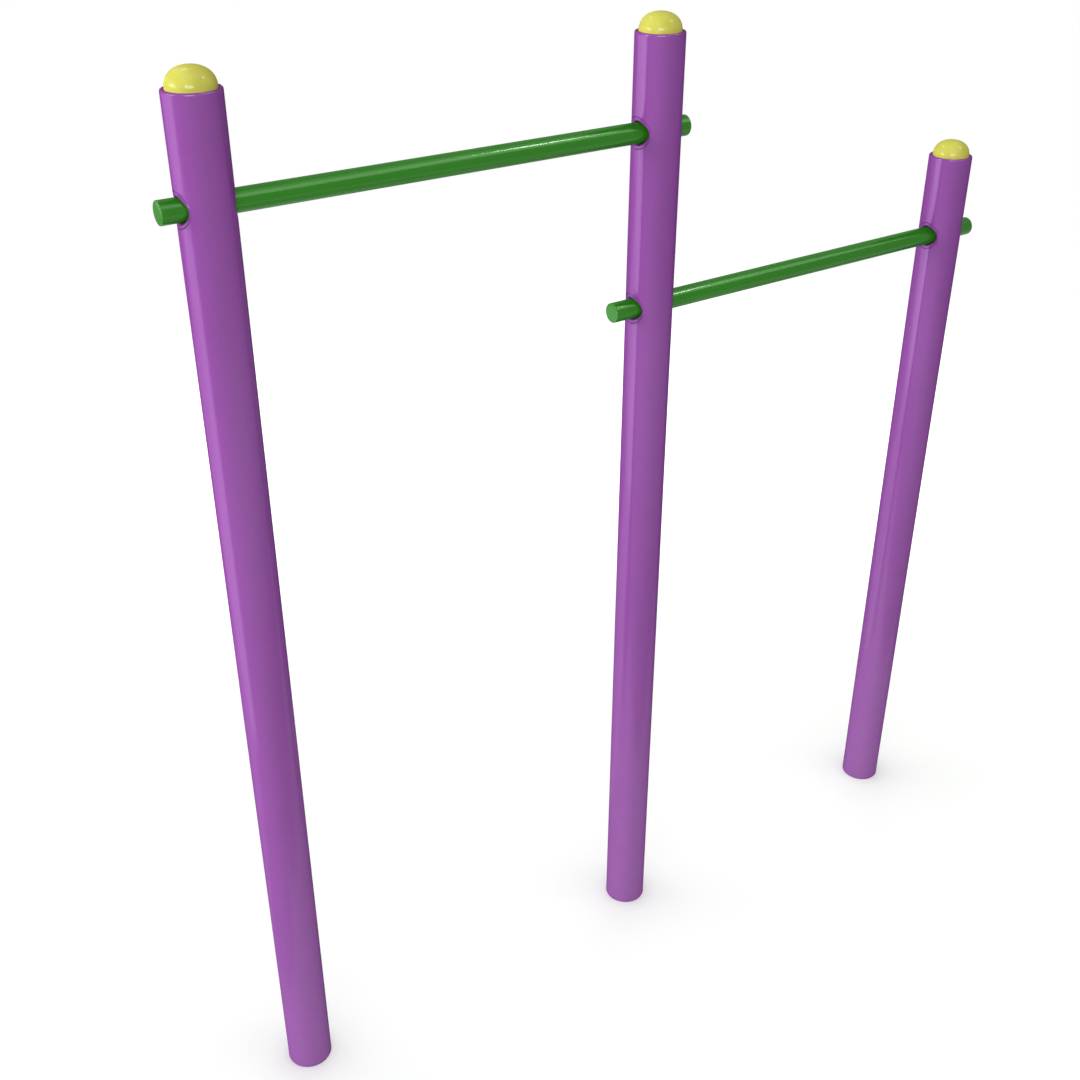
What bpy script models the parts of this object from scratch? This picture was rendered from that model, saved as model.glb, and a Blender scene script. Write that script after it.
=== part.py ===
"""Outdoor pull-up bar: three round posts in a line carry two grip bars at two heights.

Metres, +Z up. The posts stand on z = 0, the bars run along X, and the origin is
the middle of the footprint of the whole frame. Every piece is its own object,
placed under the empty of the post or of the bar that carries it.
"""

import math

import bmesh
import bpy

# Posts: round tube, measured in the photograph in units of the post's radius
POST_DIAMETER = 0.108
POST_WALL = 0.008
HIGH_SPAN = 1.0205
LOW_SPAN = 0.976
TOP_ABOVE_BAR = 0.202
RIM_OUTER_ROUNDING = 0.0045
RIM_INNER_ROUNDING = 0.0015
FOOT_ROUNDING = 0.003

# Grip bars: round tube, closed at both ends
BAR_DIAMETER = 0.045
BAR_WALL = 0.0035
HIGH_BAR_HEIGHT = 2.198
LOW_BAR_DROP = 0.391
HIGH_STUB_LEFT = 0.035
HIGH_STUB_RIGHT = 0.0255
LOW_STUB_LEFT = 0.053
LOW_STUB_RIGHT = 0.049
BAR_EDGE_CHAMFER = 0.0012
END_DISC_THICKNESS = 0.005

# Sleeves that cross the posts and hold the bars, with a wider mouth at both ends
SLEEVE_WALL = 0.0056
SLEEVE_BAR_CLEARANCE = 0.0004
SLEEVE_MOUTH_CLEARANCE = 0.001
SLEEVE_MOUTH_DEPTH = 0.018
SLEEVE_MOUTH_TAPER = 0.002

# Lip that rolls into each hole all round the bar, over the sleeve's weld
LIP_ROUNDING = 0.0092
LIP_TURN = 75.0
LIP_OVERLAP = 0.0006
LIP_STEP = 0.0005
LIP_BAND = 0.001

# Locking screws, from the back of each post down onto the bar
SCREW_DIAMETER = 0.010
SCREW_HEAD_DEPTH = 0.0012
SCREW_TIP_CHAMFER = 0.001
SOCKET_ACROSS_FLATS = 0.005
SOCKET_DEPTH = 0.005

# Domed caps and the rings that they sit on
DOME_HEIGHT = 0.038
DOME_FULLNESS = 2.25
CAP_LAND = 0.002
CAP_WALL = 0.003
CAP_SKIRT_DEPTH = 0.028
CAP_RIB_COUNT = 2
CAP_RIB_DEPTH = 0.0012
CAP_RIB_WIDTH = 0.004
SEAT_RING_WIDTH = 0.009
SEAT_RING_THICKNESS = 0.006

# Discs that close the posts at the ground
FOOT_DISC_THICKNESS = 0.008
FOOT_DISC_CHAMFER = 0.001

# Gap kept between pieces that are welded or pressed together
FIT_GAP = 0.0003

# Number of sides of the round pieces
POST_SIDES = 48
BAR_SIDES = 32
CAP_SIDES = 32
SCREW_SIDES = 16
RIM_STEPS = 3
FOOT_STEPS = 2
LIP_STEPS = 4
DOME_STEPS = 7
CEILING_STEPS = 2
SHARP_ANGLE = 32.0

# Colours as seen in the photograph: red, green, blue, roughness, metallic
PURPLE_COAT = (0.30, 0.085, 0.38, 0.32, 0.0)
GREEN_COAT = (0.028, 0.20, 0.014, 0.28, 0.0)
YELLOW_PLASTIC = (0.62, 0.64, 0.10, 0.22, 0.0)
ZINC = (0.62, 0.63, 0.65, 0.38, 1.0)
RAW_STEEL = (0.36, 0.36, 0.38, 0.50, 1.0)

# Sizes that follow from the ones above
POST_RADIUS = POST_DIAMETER / 2
POST_BORE_RADIUS = POST_RADIUS - POST_WALL
BAR_RADIUS = BAR_DIAMETER / 2
BAR_BORE_RADIUS = BAR_RADIUS - BAR_WALL
LOW_BAR_HEIGHT = HIGH_BAR_HEIGHT - LOW_BAR_DROP
SLEEVE_BORE_RADIUS = BAR_RADIUS + SLEEVE_BAR_CLEARANCE
SLEEVE_MOUTH_RADIUS = SLEEVE_BORE_RADIUS + SLEEVE_MOUTH_CLEARANCE
SLEEVE_RADIUS = SLEEVE_BORE_RADIUS + SLEEVE_WALL
POST_HOLE_RADIUS = SLEEVE_RADIUS + FIT_GAP
LIP_END_RADIUS = SLEEVE_MOUTH_RADIUS - LIP_OVERLAP
LIP_START_RADIUS = LIP_END_RADIUS + LIP_ROUNDING * math.sin(math.radians(LIP_TURN))
LIP_EDGE_RADIUS = max(LIP_START_RADIUS, POST_HOLE_RADIUS) + LIP_BAND
SCREW_RADIUS = SCREW_DIAMETER / 2
SCREW_HOLE_RADIUS = SCREW_RADIUS + FIT_GAP
SCREW_TIP = BAR_RADIUS + FIT_GAP
SCREW_LENGTH = POST_RADIUS - SCREW_HEAD_DEPTH - SCREW_TIP
CAP_RADIUS = POST_BORE_RADIUS - FIT_GAP
CUT_MARGIN = 0.010

# Where the posts stand: the frame's middle, ends of the bars included, is x = 0
LEFT_REACH = HIGH_SPAN + POST_RADIUS + HIGH_STUB_LEFT
RIGHT_REACH = LOW_SPAN + POST_RADIUS + LOW_STUB_RIGHT
MIDDLE_POST_X = (LEFT_REACH - RIGHT_REACH) / 2
LEFT_POST_X = MIDDLE_POST_X - HIGH_SPAN
RIGHT_POST_X = MIDDLE_POST_X + LOW_SPAN

# Each post: name, place along X, height of its top, heights of the bars that cross it
POSTS = (
    ("left", LEFT_POST_X, HIGH_BAR_HEIGHT + TOP_ABOVE_BAR, {"high": HIGH_BAR_HEIGHT}),
    (
        "middle",
        MIDDLE_POST_X,
        HIGH_BAR_HEIGHT + TOP_ABOVE_BAR,
        {"high": HIGH_BAR_HEIGHT, "low": LOW_BAR_HEIGHT},
    ),
    ("right", RIGHT_POST_X, LOW_BAR_HEIGHT + TOP_ABOVE_BAR, {"low": LOW_BAR_HEIGHT}),
)

# Each bar: name, height, posts that it joins, stub past the outside of each
BARS = (
    ("high", HIGH_BAR_HEIGHT, LEFT_POST_X, MIDDLE_POST_X, HIGH_STUB_LEFT, HIGH_STUB_RIGHT),
    ("low", LOW_BAR_HEIGHT, MIDDLE_POST_X, RIGHT_POST_X, LOW_STUB_LEFT, LOW_STUB_RIGHT),
)

ALONG_X = (0.0, math.pi / 2, 0.0)
ALONG_Y = (-math.pi / 2, 0.0, 0.0)
UPRIGHT = (0.0, 0.0, 0.0)


def clear_scene():
    """Empty the scene of whatever was in it."""
    for obj in list(bpy.data.objects):
        bpy.data.objects.remove(obj, do_unlink=True)


def new_collection(name):
    """A collection of this name in the scene."""
    collection = bpy.data.collections.new(name)
    bpy.context.scene.collection.children.link(collection)
    return collection


def surface(name, look):
    """A plain material with the piece's colour, roughness and metallic value."""
    red, green, blue, roughness, metallic = look
    material = bpy.data.materials.new(name)
    material.use_nodes = True
    shader = material.node_tree.nodes["Principled BSDF"]
    shader.inputs["Base Color"].default_value = (red, green, blue, 1.0)
    shader.inputs["Roughness"].default_value = roughness
    shader.inputs["Metallic"].default_value = metallic
    material.diffuse_color = (red, green, blue, 1.0)
    return material


def arc(centre, radius, start, end, steps):
    """Points of an arc in the profile's plane, angles in degrees from outward to up."""
    points = []
    for step in range(steps + 1):
        angle = math.radians(start + (end - start) * step / steps)
        points.append(
            (centre[0] + radius * math.cos(angle), centre[1] + radius * math.sin(angle))
        )
    return points


def turned(name, profile, sides, collection, closed=True):
    """A profile of (radius, height) points turned round the local Z axis.

    The points run down the outer side and come back up the inner side. An open
    profile starts and ends on the axis.
    """
    mesh = bpy.data.meshes.new(name)
    edges = [(index, index + 1) for index in range(len(profile) - 1)]
    if closed:
        edges.append((len(profile) - 1, 0))
    mesh.from_pydata([(radius, 0.0, height) for radius, height in profile], edges, [])
    obj = bpy.data.objects.new(name, mesh)
    collection.objects.link(obj)
    screw = obj.modifiers.new("Turn", "SCREW")
    screw.axis = "Z"
    screw.angle = math.tau
    screw.steps = sides
    screw.render_steps = sides
    screw.use_smooth_shade = True
    screw.use_merge_vertices = True
    screw.merge_threshold = 0.00001
    return obj


def place(obj, parent, location, rotation=UPRIGHT):
    """Stand the object at this place under its parent."""
    obj.parent = parent
    obj.location = location
    obj.rotation_euler = rotation
    return obj


def as_cutter(obj):
    """Keep the object out of the model: it only cuts others."""
    obj.hide_render = True
    obj.display_type = "WIRE"
    return obj


def cut(obj, cutter, operation="DIFFERENCE"):
    """Cut the object by the cutter, or keep only what lies inside it."""
    boolean = obj.modifiers.new(cutter.name, "BOOLEAN")
    boolean.operation = operation
    boolean.solver = "EXACT"
    boolean.object = cutter


def smooth_by_angle():
    """A node group that shades smooth and leaves the edges past SHARP_ANGLE sharp."""
    group = bpy.data.node_groups.get("Smooth by angle")
    if group:
        return group
    group = bpy.data.node_groups.new("Smooth by angle", "GeometryNodeTree")
    for way in ("INPUT", "OUTPUT"):
        group.interface.new_socket("Mesh", in_out=way, socket_type="NodeSocketGeometry")
    nodes = group.nodes
    source = nodes.new("NodeGroupInput")
    result = nodes.new("NodeGroupOutput")
    angle = nodes.new("GeometryNodeInputMeshEdgeAngle")
    gentle = nodes.new("FunctionNodeCompare")
    gentle.data_type = "FLOAT"
    gentle.operation = "LESS_EQUAL"
    gentle.inputs["B"].default_value = math.radians(SHARP_ANGLE)
    shade = nodes.new("GeometryNodeSetShadeSmooth")
    shade.domain = "EDGE"
    group.links.new(angle.outputs["Unsigned Angle"], gentle.inputs["A"])
    group.links.new(source.outputs[0], shade.inputs["Geometry"])
    group.links.new(gentle.outputs["Result"], shade.inputs["Shade Smooth"])
    group.links.new(shade.outputs["Geometry"], result.inputs[0])
    return group


def finish(obj, look):
    """Give the piece its material, and smooth shading up to its sharp edges."""
    obj.data.materials.append(surface(obj.name, look))
    shade = obj.modifiers.new("Shade", "NODES")
    shade.node_group = smooth_by_angle()


def marker(name, location, parent, collection):
    """An empty that pieces hang from."""
    empty = bpy.data.objects.new(name, None)
    empty.empty_display_size = 0.1
    collection.objects.link(empty)
    return place(empty, parent, location)


def bar_section(half_length):
    """Closed profile of a bar tube about its middle, with chamfered ends."""
    return [
        (BAR_RADIUS - BAR_EDGE_CHAMFER, half_length),
        (BAR_RADIUS, half_length - BAR_EDGE_CHAMFER),
        (BAR_RADIUS, BAR_EDGE_CHAMFER - half_length),
        (BAR_RADIUS - BAR_EDGE_CHAMFER, -half_length),
        (BAR_BORE_RADIUS, -half_length),
        (BAR_BORE_RADIUS, half_length),
    ]


def sleeve_section():
    """Closed profile of a sleeve about its middle, bored wider at both mouths."""
    bore_end = POST_RADIUS - SLEEVE_MOUTH_DEPTH
    mouth_start = bore_end + SLEEVE_MOUTH_TAPER
    return [
        (SLEEVE_RADIUS, POST_RADIUS),
        (SLEEVE_RADIUS, -POST_RADIUS),
        (SLEEVE_MOUTH_RADIUS, -POST_RADIUS),
        (SLEEVE_MOUTH_RADIUS, -mouth_start),
        (SLEEVE_BORE_RADIUS, -bore_end),
        (SLEEVE_BORE_RADIUS, bore_end),
        (SLEEVE_MOUTH_RADIUS, mouth_start),
        (SLEEVE_MOUTH_RADIUS, POST_RADIUS),
    ]


def post_section(height):
    """Closed profile of a post tube, with its rounded rim and foot."""
    outer = POST_RADIUS
    inner = POST_BORE_RADIUS
    rim = arc(
        (outer - RIM_OUTER_ROUNDING, height - RIM_OUTER_ROUNDING),
        RIM_OUTER_ROUNDING,
        90,
        0,
        RIM_STEPS,
    )
    foot = arc(
        (outer - FOOT_ROUNDING, FOOT_ROUNDING), FOOT_ROUNDING, 0, -90, FOOT_STEPS
    )
    mouth = arc(
        (inner + RIM_INNER_ROUNDING, height - RIM_INNER_ROUNDING),
        RIM_INNER_ROUNDING,
        180,
        90,
        FOOT_STEPS,
    )
    return rim + foot + [(inner, 0.0)] + mouth


def lip_profile():
    """Points of the lip from its edge to the bar: (distance from the bar's axis, depth)."""
    points = [(LIP_EDGE_RADIUS + LIP_STEP, -CUT_MARGIN), (LIP_EDGE_RADIUS, LIP_STEP)]
    for step in range(LIP_STEPS + 1):
        turn = math.radians(LIP_TURN * step / LIP_STEPS)
        points.append(
            (
                LIP_START_RADIUS - LIP_ROUNDING * math.sin(turn),
                LIP_STEP + LIP_ROUNDING * (1 - math.cos(turn)),
            )
        )
    return points


def ring_corners(radius, depth, follows_skin):
    """Corners of a ring round the bar's axis, at a depth under the post's crown or skin.

    They lie between the corners of the sleeve, so that no two edges meet end to end.
    """
    corners = []
    for side in range(BAR_SIDES):
        angle = math.tau * (side + 0.5) / BAR_SIDES
        across = radius * math.sin(angle)
        sag = 0.0
        if follows_skin:
            sag = POST_RADIUS - math.sqrt(POST_RADIUS**2 - across**2)
        corners.append((POST_RADIUS - depth - sag, across, radius * math.cos(angle)))
    return corners


def lip_cutter(name, collection):
    """A cutter for the lip on the +X side, lofted from a flat ring through the lip's rings."""
    rings = [ring_corners(LIP_EDGE_RADIUS + LIP_STEP, -2 * CUT_MARGIN, False)]
    for radius, depth in lip_profile():
        rings.append(ring_corners(radius, depth, True))
    rings.append(ring_corners(LIP_END_RADIUS / 2, POST_RADIUS, False))
    shape = bmesh.new()
    loops = [[shape.verts.new(corner) for corner in ring] for ring in rings]
    for outer, inner in zip(loops, loops[1:]):
        for side in range(BAR_SIDES):
            following = (side + 1) % BAR_SIDES
            shape.faces.new((outer[side], outer[following], inner[following], inner[side]))
    shape.faces.new(loops[0])
    shape.faces.new(loops[-1])
    bmesh.ops.recalc_face_normals(shape, faces=shape.faces)
    mesh = bpy.data.meshes.new(name)
    shape.to_mesh(mesh)
    shape.free()
    obj = bpy.data.objects.new(name, mesh)
    collection.objects.link(obj)
    return as_cutter(obj)


def rod_section(radius, top, bottom):
    """Open profile of a plain round cutter between two heights."""
    return [(0.0, top), (radius, top), (radius, bottom), (0.0, bottom)]


def cap_section():
    """Closed profile of a hollow cap: dome, land, ribbed skirt. The rim is at height 0."""
    core = CAP_RADIUS - CAP_RIB_DEPTH
    bottom = -CAP_SKIRT_DEPTH
    profile = []
    swell = 2 / DOME_FULLNESS
    for step in range(DOME_STEPS):
        angle = math.radians(90 * step / DOME_STEPS)
        profile.append(
            (
                CAP_RADIUS * math.sin(angle) ** swell,
                DOME_HEIGHT * math.cos(angle) ** swell,
            )
        )
    profile.append((CAP_RADIUS, 0.0))
    profile.append((CAP_RADIUS, -CAP_LAND))
    profile.append((core, -CAP_LAND - CAP_RIB_DEPTH))
    free = CAP_SKIRT_DEPTH - CAP_LAND - CAP_RIB_DEPTH
    pitch = free / CAP_RIB_COUNT
    half_rib = min(CAP_RIB_WIDTH, pitch) / 2
    for rib in range(CAP_RIB_COUNT):
        crest = -CAP_LAND - CAP_RIB_DEPTH - (rib + 0.5) * pitch
        profile.append((core, crest + half_rib))
        profile.append((CAP_RADIUS, crest))
        profile.append((core, crest - half_rib))
    profile.append((core, bottom))
    inner = core - CAP_WALL
    ceiling = DOME_HEIGHT - CAP_WALL
    profile.append((inner, bottom))
    for step in range(CEILING_STEPS + 1):
        angle = math.radians(90 * step / CEILING_STEPS)
        profile.append((inner * math.cos(angle), ceiling * math.sin(angle)))
    return profile


def disc_section(radius, thickness, chamfer):
    """Profile of a disc whose lower face is at height 0 and has a chamfered edge."""
    return [
        (0.0, thickness),
        (radius, thickness),
        (radius, chamfer),
        (radius - chamfer, 0.0),
        (0.0, 0.0),
    ]


def build_screw(name, post, height, pieces, cutters):
    """A grub screw with a hexagon socket, its axis along Y and its tip on the bar."""
    profile = [
        (0.0, SCREW_LENGTH),
        (SCREW_RADIUS, SCREW_LENGTH),
        (SCREW_RADIUS, SCREW_TIP_CHAMFER),
        (SCREW_RADIUS - SCREW_TIP_CHAMFER, 0.0),
        (0.0, 0.0),
    ]
    screw = turned(name, profile, SCREW_SIDES, pieces, closed=False)
    place(screw, post, (0.0, SCREW_TIP, height), ALONG_Y)
    corner = SOCKET_ACROSS_FLATS / 2 / math.cos(math.pi / 6)
    hexagon = rod_section(corner, SOCKET_DEPTH, -SOCKET_DEPTH)
    socket = as_cutter(turned(name + "_socket_cut", hexagon, 6, cutters, closed=False))
    head = SCREW_TIP + SCREW_LENGTH
    place(socket, post, (0.0, head, height), ALONG_Y)
    cut(screw, socket)
    finish(screw, ZINC)


def build_sleeve(name, post, height, lips, pieces, cutters):
    """The sleeve that crosses a post, its ends rolled with the post's lips."""
    sleeve = turned(name, sleeve_section(), BAR_SIDES, pieces)
    place(sleeve, post, (0.0, 0.0, height), ALONG_X)
    for lip in lips:
        cut(sleeve, lip)
    drill = rod_section(SCREW_HOLE_RADIUS, SLEEVE_RADIUS + CUT_MARGIN, 0.0)
    hole = turned(name + "_screw_cut", drill, SCREW_SIDES, cutters, closed=False)
    place(as_cutter(hole), post, (0.0, 0.0, height), ALONG_Y)
    cut(sleeve, hole)
    finish(sleeve, PURPLE_COAT)


def build_post(name, x, top, bars, frame, pieces, cutters):
    """One post with its cap, seat ring, foot disc, sleeves and locking screws."""
    axis = marker("post_" + name + "_axis", (x, 0.0, 0.0), frame, pieces)
    post = place(turned("post_" + name, post_section(top), POST_SIDES, pieces), axis, (0, 0, 0))
    for bar, height in bars.items():
        crossing = name + "_" + bar
        reach = POST_RADIUS + CUT_MARGIN
        across = turned(
            "hole_cut_" + crossing,
            rod_section(POST_HOLE_RADIUS, reach, -reach),
            BAR_SIDES,
            cutters,
            closed=False,
        )
        place(as_cutter(across), axis, (0.0, 0.0, height), ALONG_X)
        cut(post, across)
        lips = []
        for side, turn in (("right", 0.0), ("left", math.pi)):
            lip = lip_cutter("lip_cut_" + crossing + "_" + side, cutters)
            place(lip, axis, (0.0, 0.0, height), (0.0, 0.0, turn))
            cut(post, lip)
            lips.append(lip)
        tapped = turned(
            "tap_cut_" + crossing,
            rod_section(SCREW_HOLE_RADIUS, reach, SLEEVE_RADIUS),
            SCREW_SIDES,
            cutters,
            closed=False,
        )
        place(as_cutter(tapped), axis, (0.0, 0.0, height), ALONG_Y)
        cut(post, tapped)
        build_sleeve("sleeve_" + crossing, axis, height, lips, pieces, cutters)
        build_screw("lock_screw_" + crossing, axis, height, pieces, cutters)
    finish(post, PURPLE_COAT)

    cap = turned("cap_" + name, cap_section(), CAP_SIDES, pieces, closed=False)
    finish(place(cap, axis, (0.0, 0.0, top)), YELLOW_PLASTIC)

    half_ring = SEAT_RING_THICKNESS / 2
    ring_section = [
        (CAP_RADIUS, half_ring),
        (CAP_RADIUS, -half_ring),
        (CAP_RADIUS - SEAT_RING_WIDTH, -half_ring),
        (CAP_RADIUS - SEAT_RING_WIDTH, half_ring),
    ]
    ring = turned("cap_seat_" + name, ring_section, CAP_SIDES, pieces)
    seat = top - CAP_SKIRT_DEPTH - FIT_GAP - half_ring
    finish(place(ring, axis, (0.0, 0.0, seat)), RAW_STEEL)

    disc = turned(
        "foot_disc_" + name,
        disc_section(CAP_RADIUS, FOOT_DISC_THICKNESS, FOOT_DISC_CHAMFER),
        POST_SIDES,
        pieces,
        closed=False,
    )
    finish(place(disc, axis, (0.0, 0.0, 0.0)), PURPLE_COAT)


def build_bar(name, height, left_x, right_x, stub_left, stub_right, frame, pieces):
    """One grip bar with the discs that close its ends."""
    left = left_x - POST_RADIUS - stub_left
    right = right_x + POST_RADIUS + stub_right
    half = (right - left) / 2
    axis = marker(name + "_bar_axis", ((left + right) / 2, 0.0, height), frame, pieces)
    bar = turned(name + "_bar", bar_section(half), BAR_SIDES, pieces)
    finish(place(bar, axis, (0, 0, 0), ALONG_X), GREEN_COAT)
    disc_profile = rod_section(BAR_BORE_RADIUS - FIT_GAP, END_DISC_THICKNESS, 0.0)
    for side, inner_face in (("left", -half), ("right", half - END_DISC_THICKNESS)):
        disc = turned(
            name + "_bar_end_" + side, disc_profile, BAR_SIDES, pieces, closed=False
        )
        finish(place(disc, axis, (inner_face, 0.0, 0.0), ALONG_X), GREEN_COAT)


def main():
    clear_scene()
    pieces = new_collection("outdoor_pull_up_bar")
    cutters = new_collection("outdoor_pull_up_bar_cutters")
    frame = marker("frame_origin", (0.0, 0.0, 0.0), None, pieces)
    for name, x, top, bars in POSTS:
        build_post(name, x, top, bars, frame, pieces, cutters)
    for name, height, left_x, right_x, stub_left, stub_right in BARS:
        build_bar(name, height, left_x, right_x, stub_left, stub_right, frame, pieces)


main()
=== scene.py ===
"""Looks of an outdoor pull-up bar: powder-coated posts and bars, domed caps, locking screws.

Metres, +Z up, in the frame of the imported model: the bars run along X, the locking
screws sit at the back (+Y), and the ground is z = 0.
"""

import math

import bmesh
import bpy
from mathutils import Matrix, Vector


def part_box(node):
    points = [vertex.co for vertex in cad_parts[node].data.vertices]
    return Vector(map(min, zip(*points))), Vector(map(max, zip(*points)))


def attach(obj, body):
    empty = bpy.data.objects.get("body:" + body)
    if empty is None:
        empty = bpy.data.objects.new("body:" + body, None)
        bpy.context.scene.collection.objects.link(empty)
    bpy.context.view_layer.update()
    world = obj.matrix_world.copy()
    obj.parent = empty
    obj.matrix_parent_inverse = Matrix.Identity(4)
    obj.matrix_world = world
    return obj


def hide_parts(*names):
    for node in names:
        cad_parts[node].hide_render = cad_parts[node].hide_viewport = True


bl_info = {
    "name": "Outdoor pull-up bar",
    "version": (1, 0, 0),
    "blender": (4, 5, 0),
    "location": "3D View > Sidebar > Pull-up bar",
    "description": "Builds a pull-up bar with its caps, screws and a studio",
    "category": "Object",
}

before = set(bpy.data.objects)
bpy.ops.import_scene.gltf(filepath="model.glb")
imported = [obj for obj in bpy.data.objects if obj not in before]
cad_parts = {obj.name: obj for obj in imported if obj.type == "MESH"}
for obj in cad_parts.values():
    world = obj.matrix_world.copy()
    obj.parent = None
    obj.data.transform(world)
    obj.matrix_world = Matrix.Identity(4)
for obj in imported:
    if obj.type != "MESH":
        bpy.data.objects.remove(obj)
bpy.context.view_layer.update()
BODY = "root"

# Which bars cross each post
CROSSINGS = {"left": ("high",), "middle": ("high", "low"), "right": ("low",)}
BAR_NAMES = ("high", "low")


def half_size(node, axis):
    """Half of a CAD node's size along X, Y or Z, by number."""
    low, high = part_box(node)
    return (high[axis] - low[axis]) / 2


POST_RADIUS = half_size("post_left", 1)
BAR_RADIUS = half_size("high_bar", 1)
CAP_RADIUS = half_size("cap_left", 1)
SCREW_RADIUS = half_size("lock_screw_left_high", 0)

# Faces round the pieces and across their roundings
POST_COLUMNS = 96
QUARTER_COLUMNS = POST_COLUMNS // 4
SIDE_ROWS = 36
FLARE_RINGS = 9
LIP_STEPS = 12
RIM_STEPS = 10
INNER_RIM_STEPS = 5
BAR_COLUMNS = 96
CAP_COLUMNS = 96
DOME_STEPS = 36
CEILING_STEPS = 12
SCREW_COLUMNS = 48
EDGE_STEPS = 6

# Height of the part of a wall whose faces spread round the holes of a crossing
CROSSING_BAND = 0.116

# Narrow band beside a post's roundings, which keeps the long wall's shading even
STRAIGHT_EDGE = 0.0012

# Edges that turn by more degrees than this are sharp
SHARP = {"post": 34.0, "sleeve": 30.0, "bar": 40.0, "cap": 34.0, "screw": 25.0}


def size(name, default, description):
    """A length that a user can change."""
    return bpy.props.FloatProperty(
        name=name,
        default=default,
        description=description,
        min=0.0,
        precision=5,
        subtype="DISTANCE",
        unit="LENGTH",
    )


def colour(name, default, description):
    """A colour that a user can change."""
    return bpy.props.FloatVectorProperty(
        name=name,
        default=default,
        description=description,
        size=3,
        min=0.0,
        max=1.0,
        subtype="COLOR",
    )


def share(name, default, description):
    """A plain number from 0 to 1 that a user can change."""
    return bpy.props.FloatProperty(
        name=name, default=default, description=description, min=0.0, max=1.0
    )


class PullUpBarSizes(bpy.types.PropertyGroup):
    """Lengths of the visible pieces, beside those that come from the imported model."""

    post_wall: size("Post wall", 0.008, "Wall of a post tube")
    rim_height: size("Rim rounding height", 0.0040, "Height of the outer rounding of a rim")
    rim_depth: size("Rim rounding depth", 0.0026, "Depth of that rounding into the wall")
    rim_inner_rounding: size("Inner rim rounding", 0.0026, "Inner rounding of that rim")
    foot_rounding: size("Foot rounding", 0.001, "Rounding of a post's lower edge")
    lip_edge_radius: size("Lip edge", 0.0343, "Where the lip round a bar leaves the post's skin")
    lip_groove: size("Lip groove", 0.0026, "Depth of the fine groove round the lip")
    lip_groove_width: size("Lip groove width", 0.0016, "Width of that groove")
    lip_step: size("Lip step", 0.0002, "Depth of the lip inside the groove")
    lip_rounding: size("Lip rounding", 0.0062, "Radius of the roll at the hole's sides")
    lip_top_rounding: size("Lip top rounding", 0.0038, "Radius of the roll above and below")
    mouth_radius: size("Hole radius", 0.0243, "Hole that a bar goes through")
    flange_wall: size("Flange wall", 0.0004, "Wall of the hole's flange in the post")
    flange_reach: size("Flange reach", 0.0157, "Depth of that flange under the skin")
    sleeve_radius: size("Sleeve radius", 0.0285, "Outside of a sleeve in a post")
    sleeve_bore: size("Sleeve bore", 0.0229, "Inside of a sleeve round a bar")
    sleeve_mouth_depth: size("Sleeve mouth", 0.018, "Depth of a sleeve's wider mouth")
    bar_rounding: size("Bar end rounding", 0.0014, "Rounding of a bar's end edges")
    dome_height: size("Dome height", 0.038, "Height of a cap over the rim")
    cap_land: size("Cap land", 0.002, "Smooth band under a cap's dome")
    cap_rib: size("Cap rib", 0.0012, "Depth of the ribs on a cap's skirt")
    cap_wall: size("Cap wall", 0.003, "Wall of a cap")
    screw_clearance: size("Screw clearance", 0.0003, "Gap round a locking screw")
    screw_groove: size("Thread groove", 0.0005, "Depth of a locking screw's thread")
    screw_pitch: size("Thread pitch", 0.0015, "Distance from thread to thread")
    socket_width: size("Socket width", 0.005, "Hexagon socket across its flats")
    socket_depth: size("Socket depth", 0.005, "Depth of the hexagon socket")


class PullUpBarLooks(bpy.types.PropertyGroup):
    """Colours and finishes of the pieces and of the studio."""

    post_coat: colour("Post coat", (0.294, 0.066, 0.372), "Purple powder coat")
    bar_coat: colour("Bar coat", (0.022, 0.235, 0.002), "Green powder coat")
    cap_plastic: colour("Cap plastic", (0.730, 0.714, 0.124), "Moulded cap plastic")
    zinc: colour("Zinc", (0.62, 0.63, 0.65), "Plated locking screws")
    raw_steel: colour("Raw steel", (0.36, 0.36, 0.38), "Hidden seat rings")
    floor: colour("Floor", (0.875, 0.893, 0.868), "Studio floor")
    post_roughness: share("Post roughness", 0.30, "Mean roughness of the purple coat")
    bar_roughness: share("Bar roughness", 0.20, "Mean roughness of the green coat")
    cap_roughness: share("Cap roughness", 0.12, "Mean roughness of the caps")


def sizes():
    return bpy.context.scene.pull_up_bar_sizes


def looks():
    return bpy.context.scene.pull_up_bar_looks


# Shader node groups


def new_group(name, numbers, outputs):
    """An empty shader group: a vector and numbers with defaults in, numbers out."""
    group = bpy.data.node_groups.new(name, "ShaderNodeTree")
    sockets = group.interface
    sockets.new_socket("Vector", in_out="INPUT", socket_type="NodeSocketVector")
    for socket, default in numbers.items():
        made = sockets.new_socket(socket, in_out="INPUT", socket_type="NodeSocketFloat")
        made.default_value = default
    for socket in outputs:
        sockets.new_socket(socket, in_out="OUTPUT", socket_type="NodeSocketFloat")
    source = group.nodes.new("NodeGroupInput")
    result = group.nodes.new("NodeGroupOutput")
    return group, source.outputs, result.inputs


def fill(tree, socket, value):
    """Link a socket, or set its value where a plain number is given."""
    if isinstance(value, bpy.types.NodeSocket):
        tree.links.new(value, socket)
    else:
        socket.default_value = value


def settle(tree, inputs, **values):
    """Fill inputs by name, with _ for a space."""
    for name, value in values.items():
        fill(tree, inputs[name.replace("_", " ")], value)


def noise(tree, vector, scale, detail, roughness=0.5):
    """A noise texture's value output."""
    node = tree.nodes.new("ShaderNodeTexNoise")
    settle(tree, node.inputs, Vector=vector, Scale=scale, Detail=detail, Roughness=roughness)
    return node.outputs["Fac"]


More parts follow.
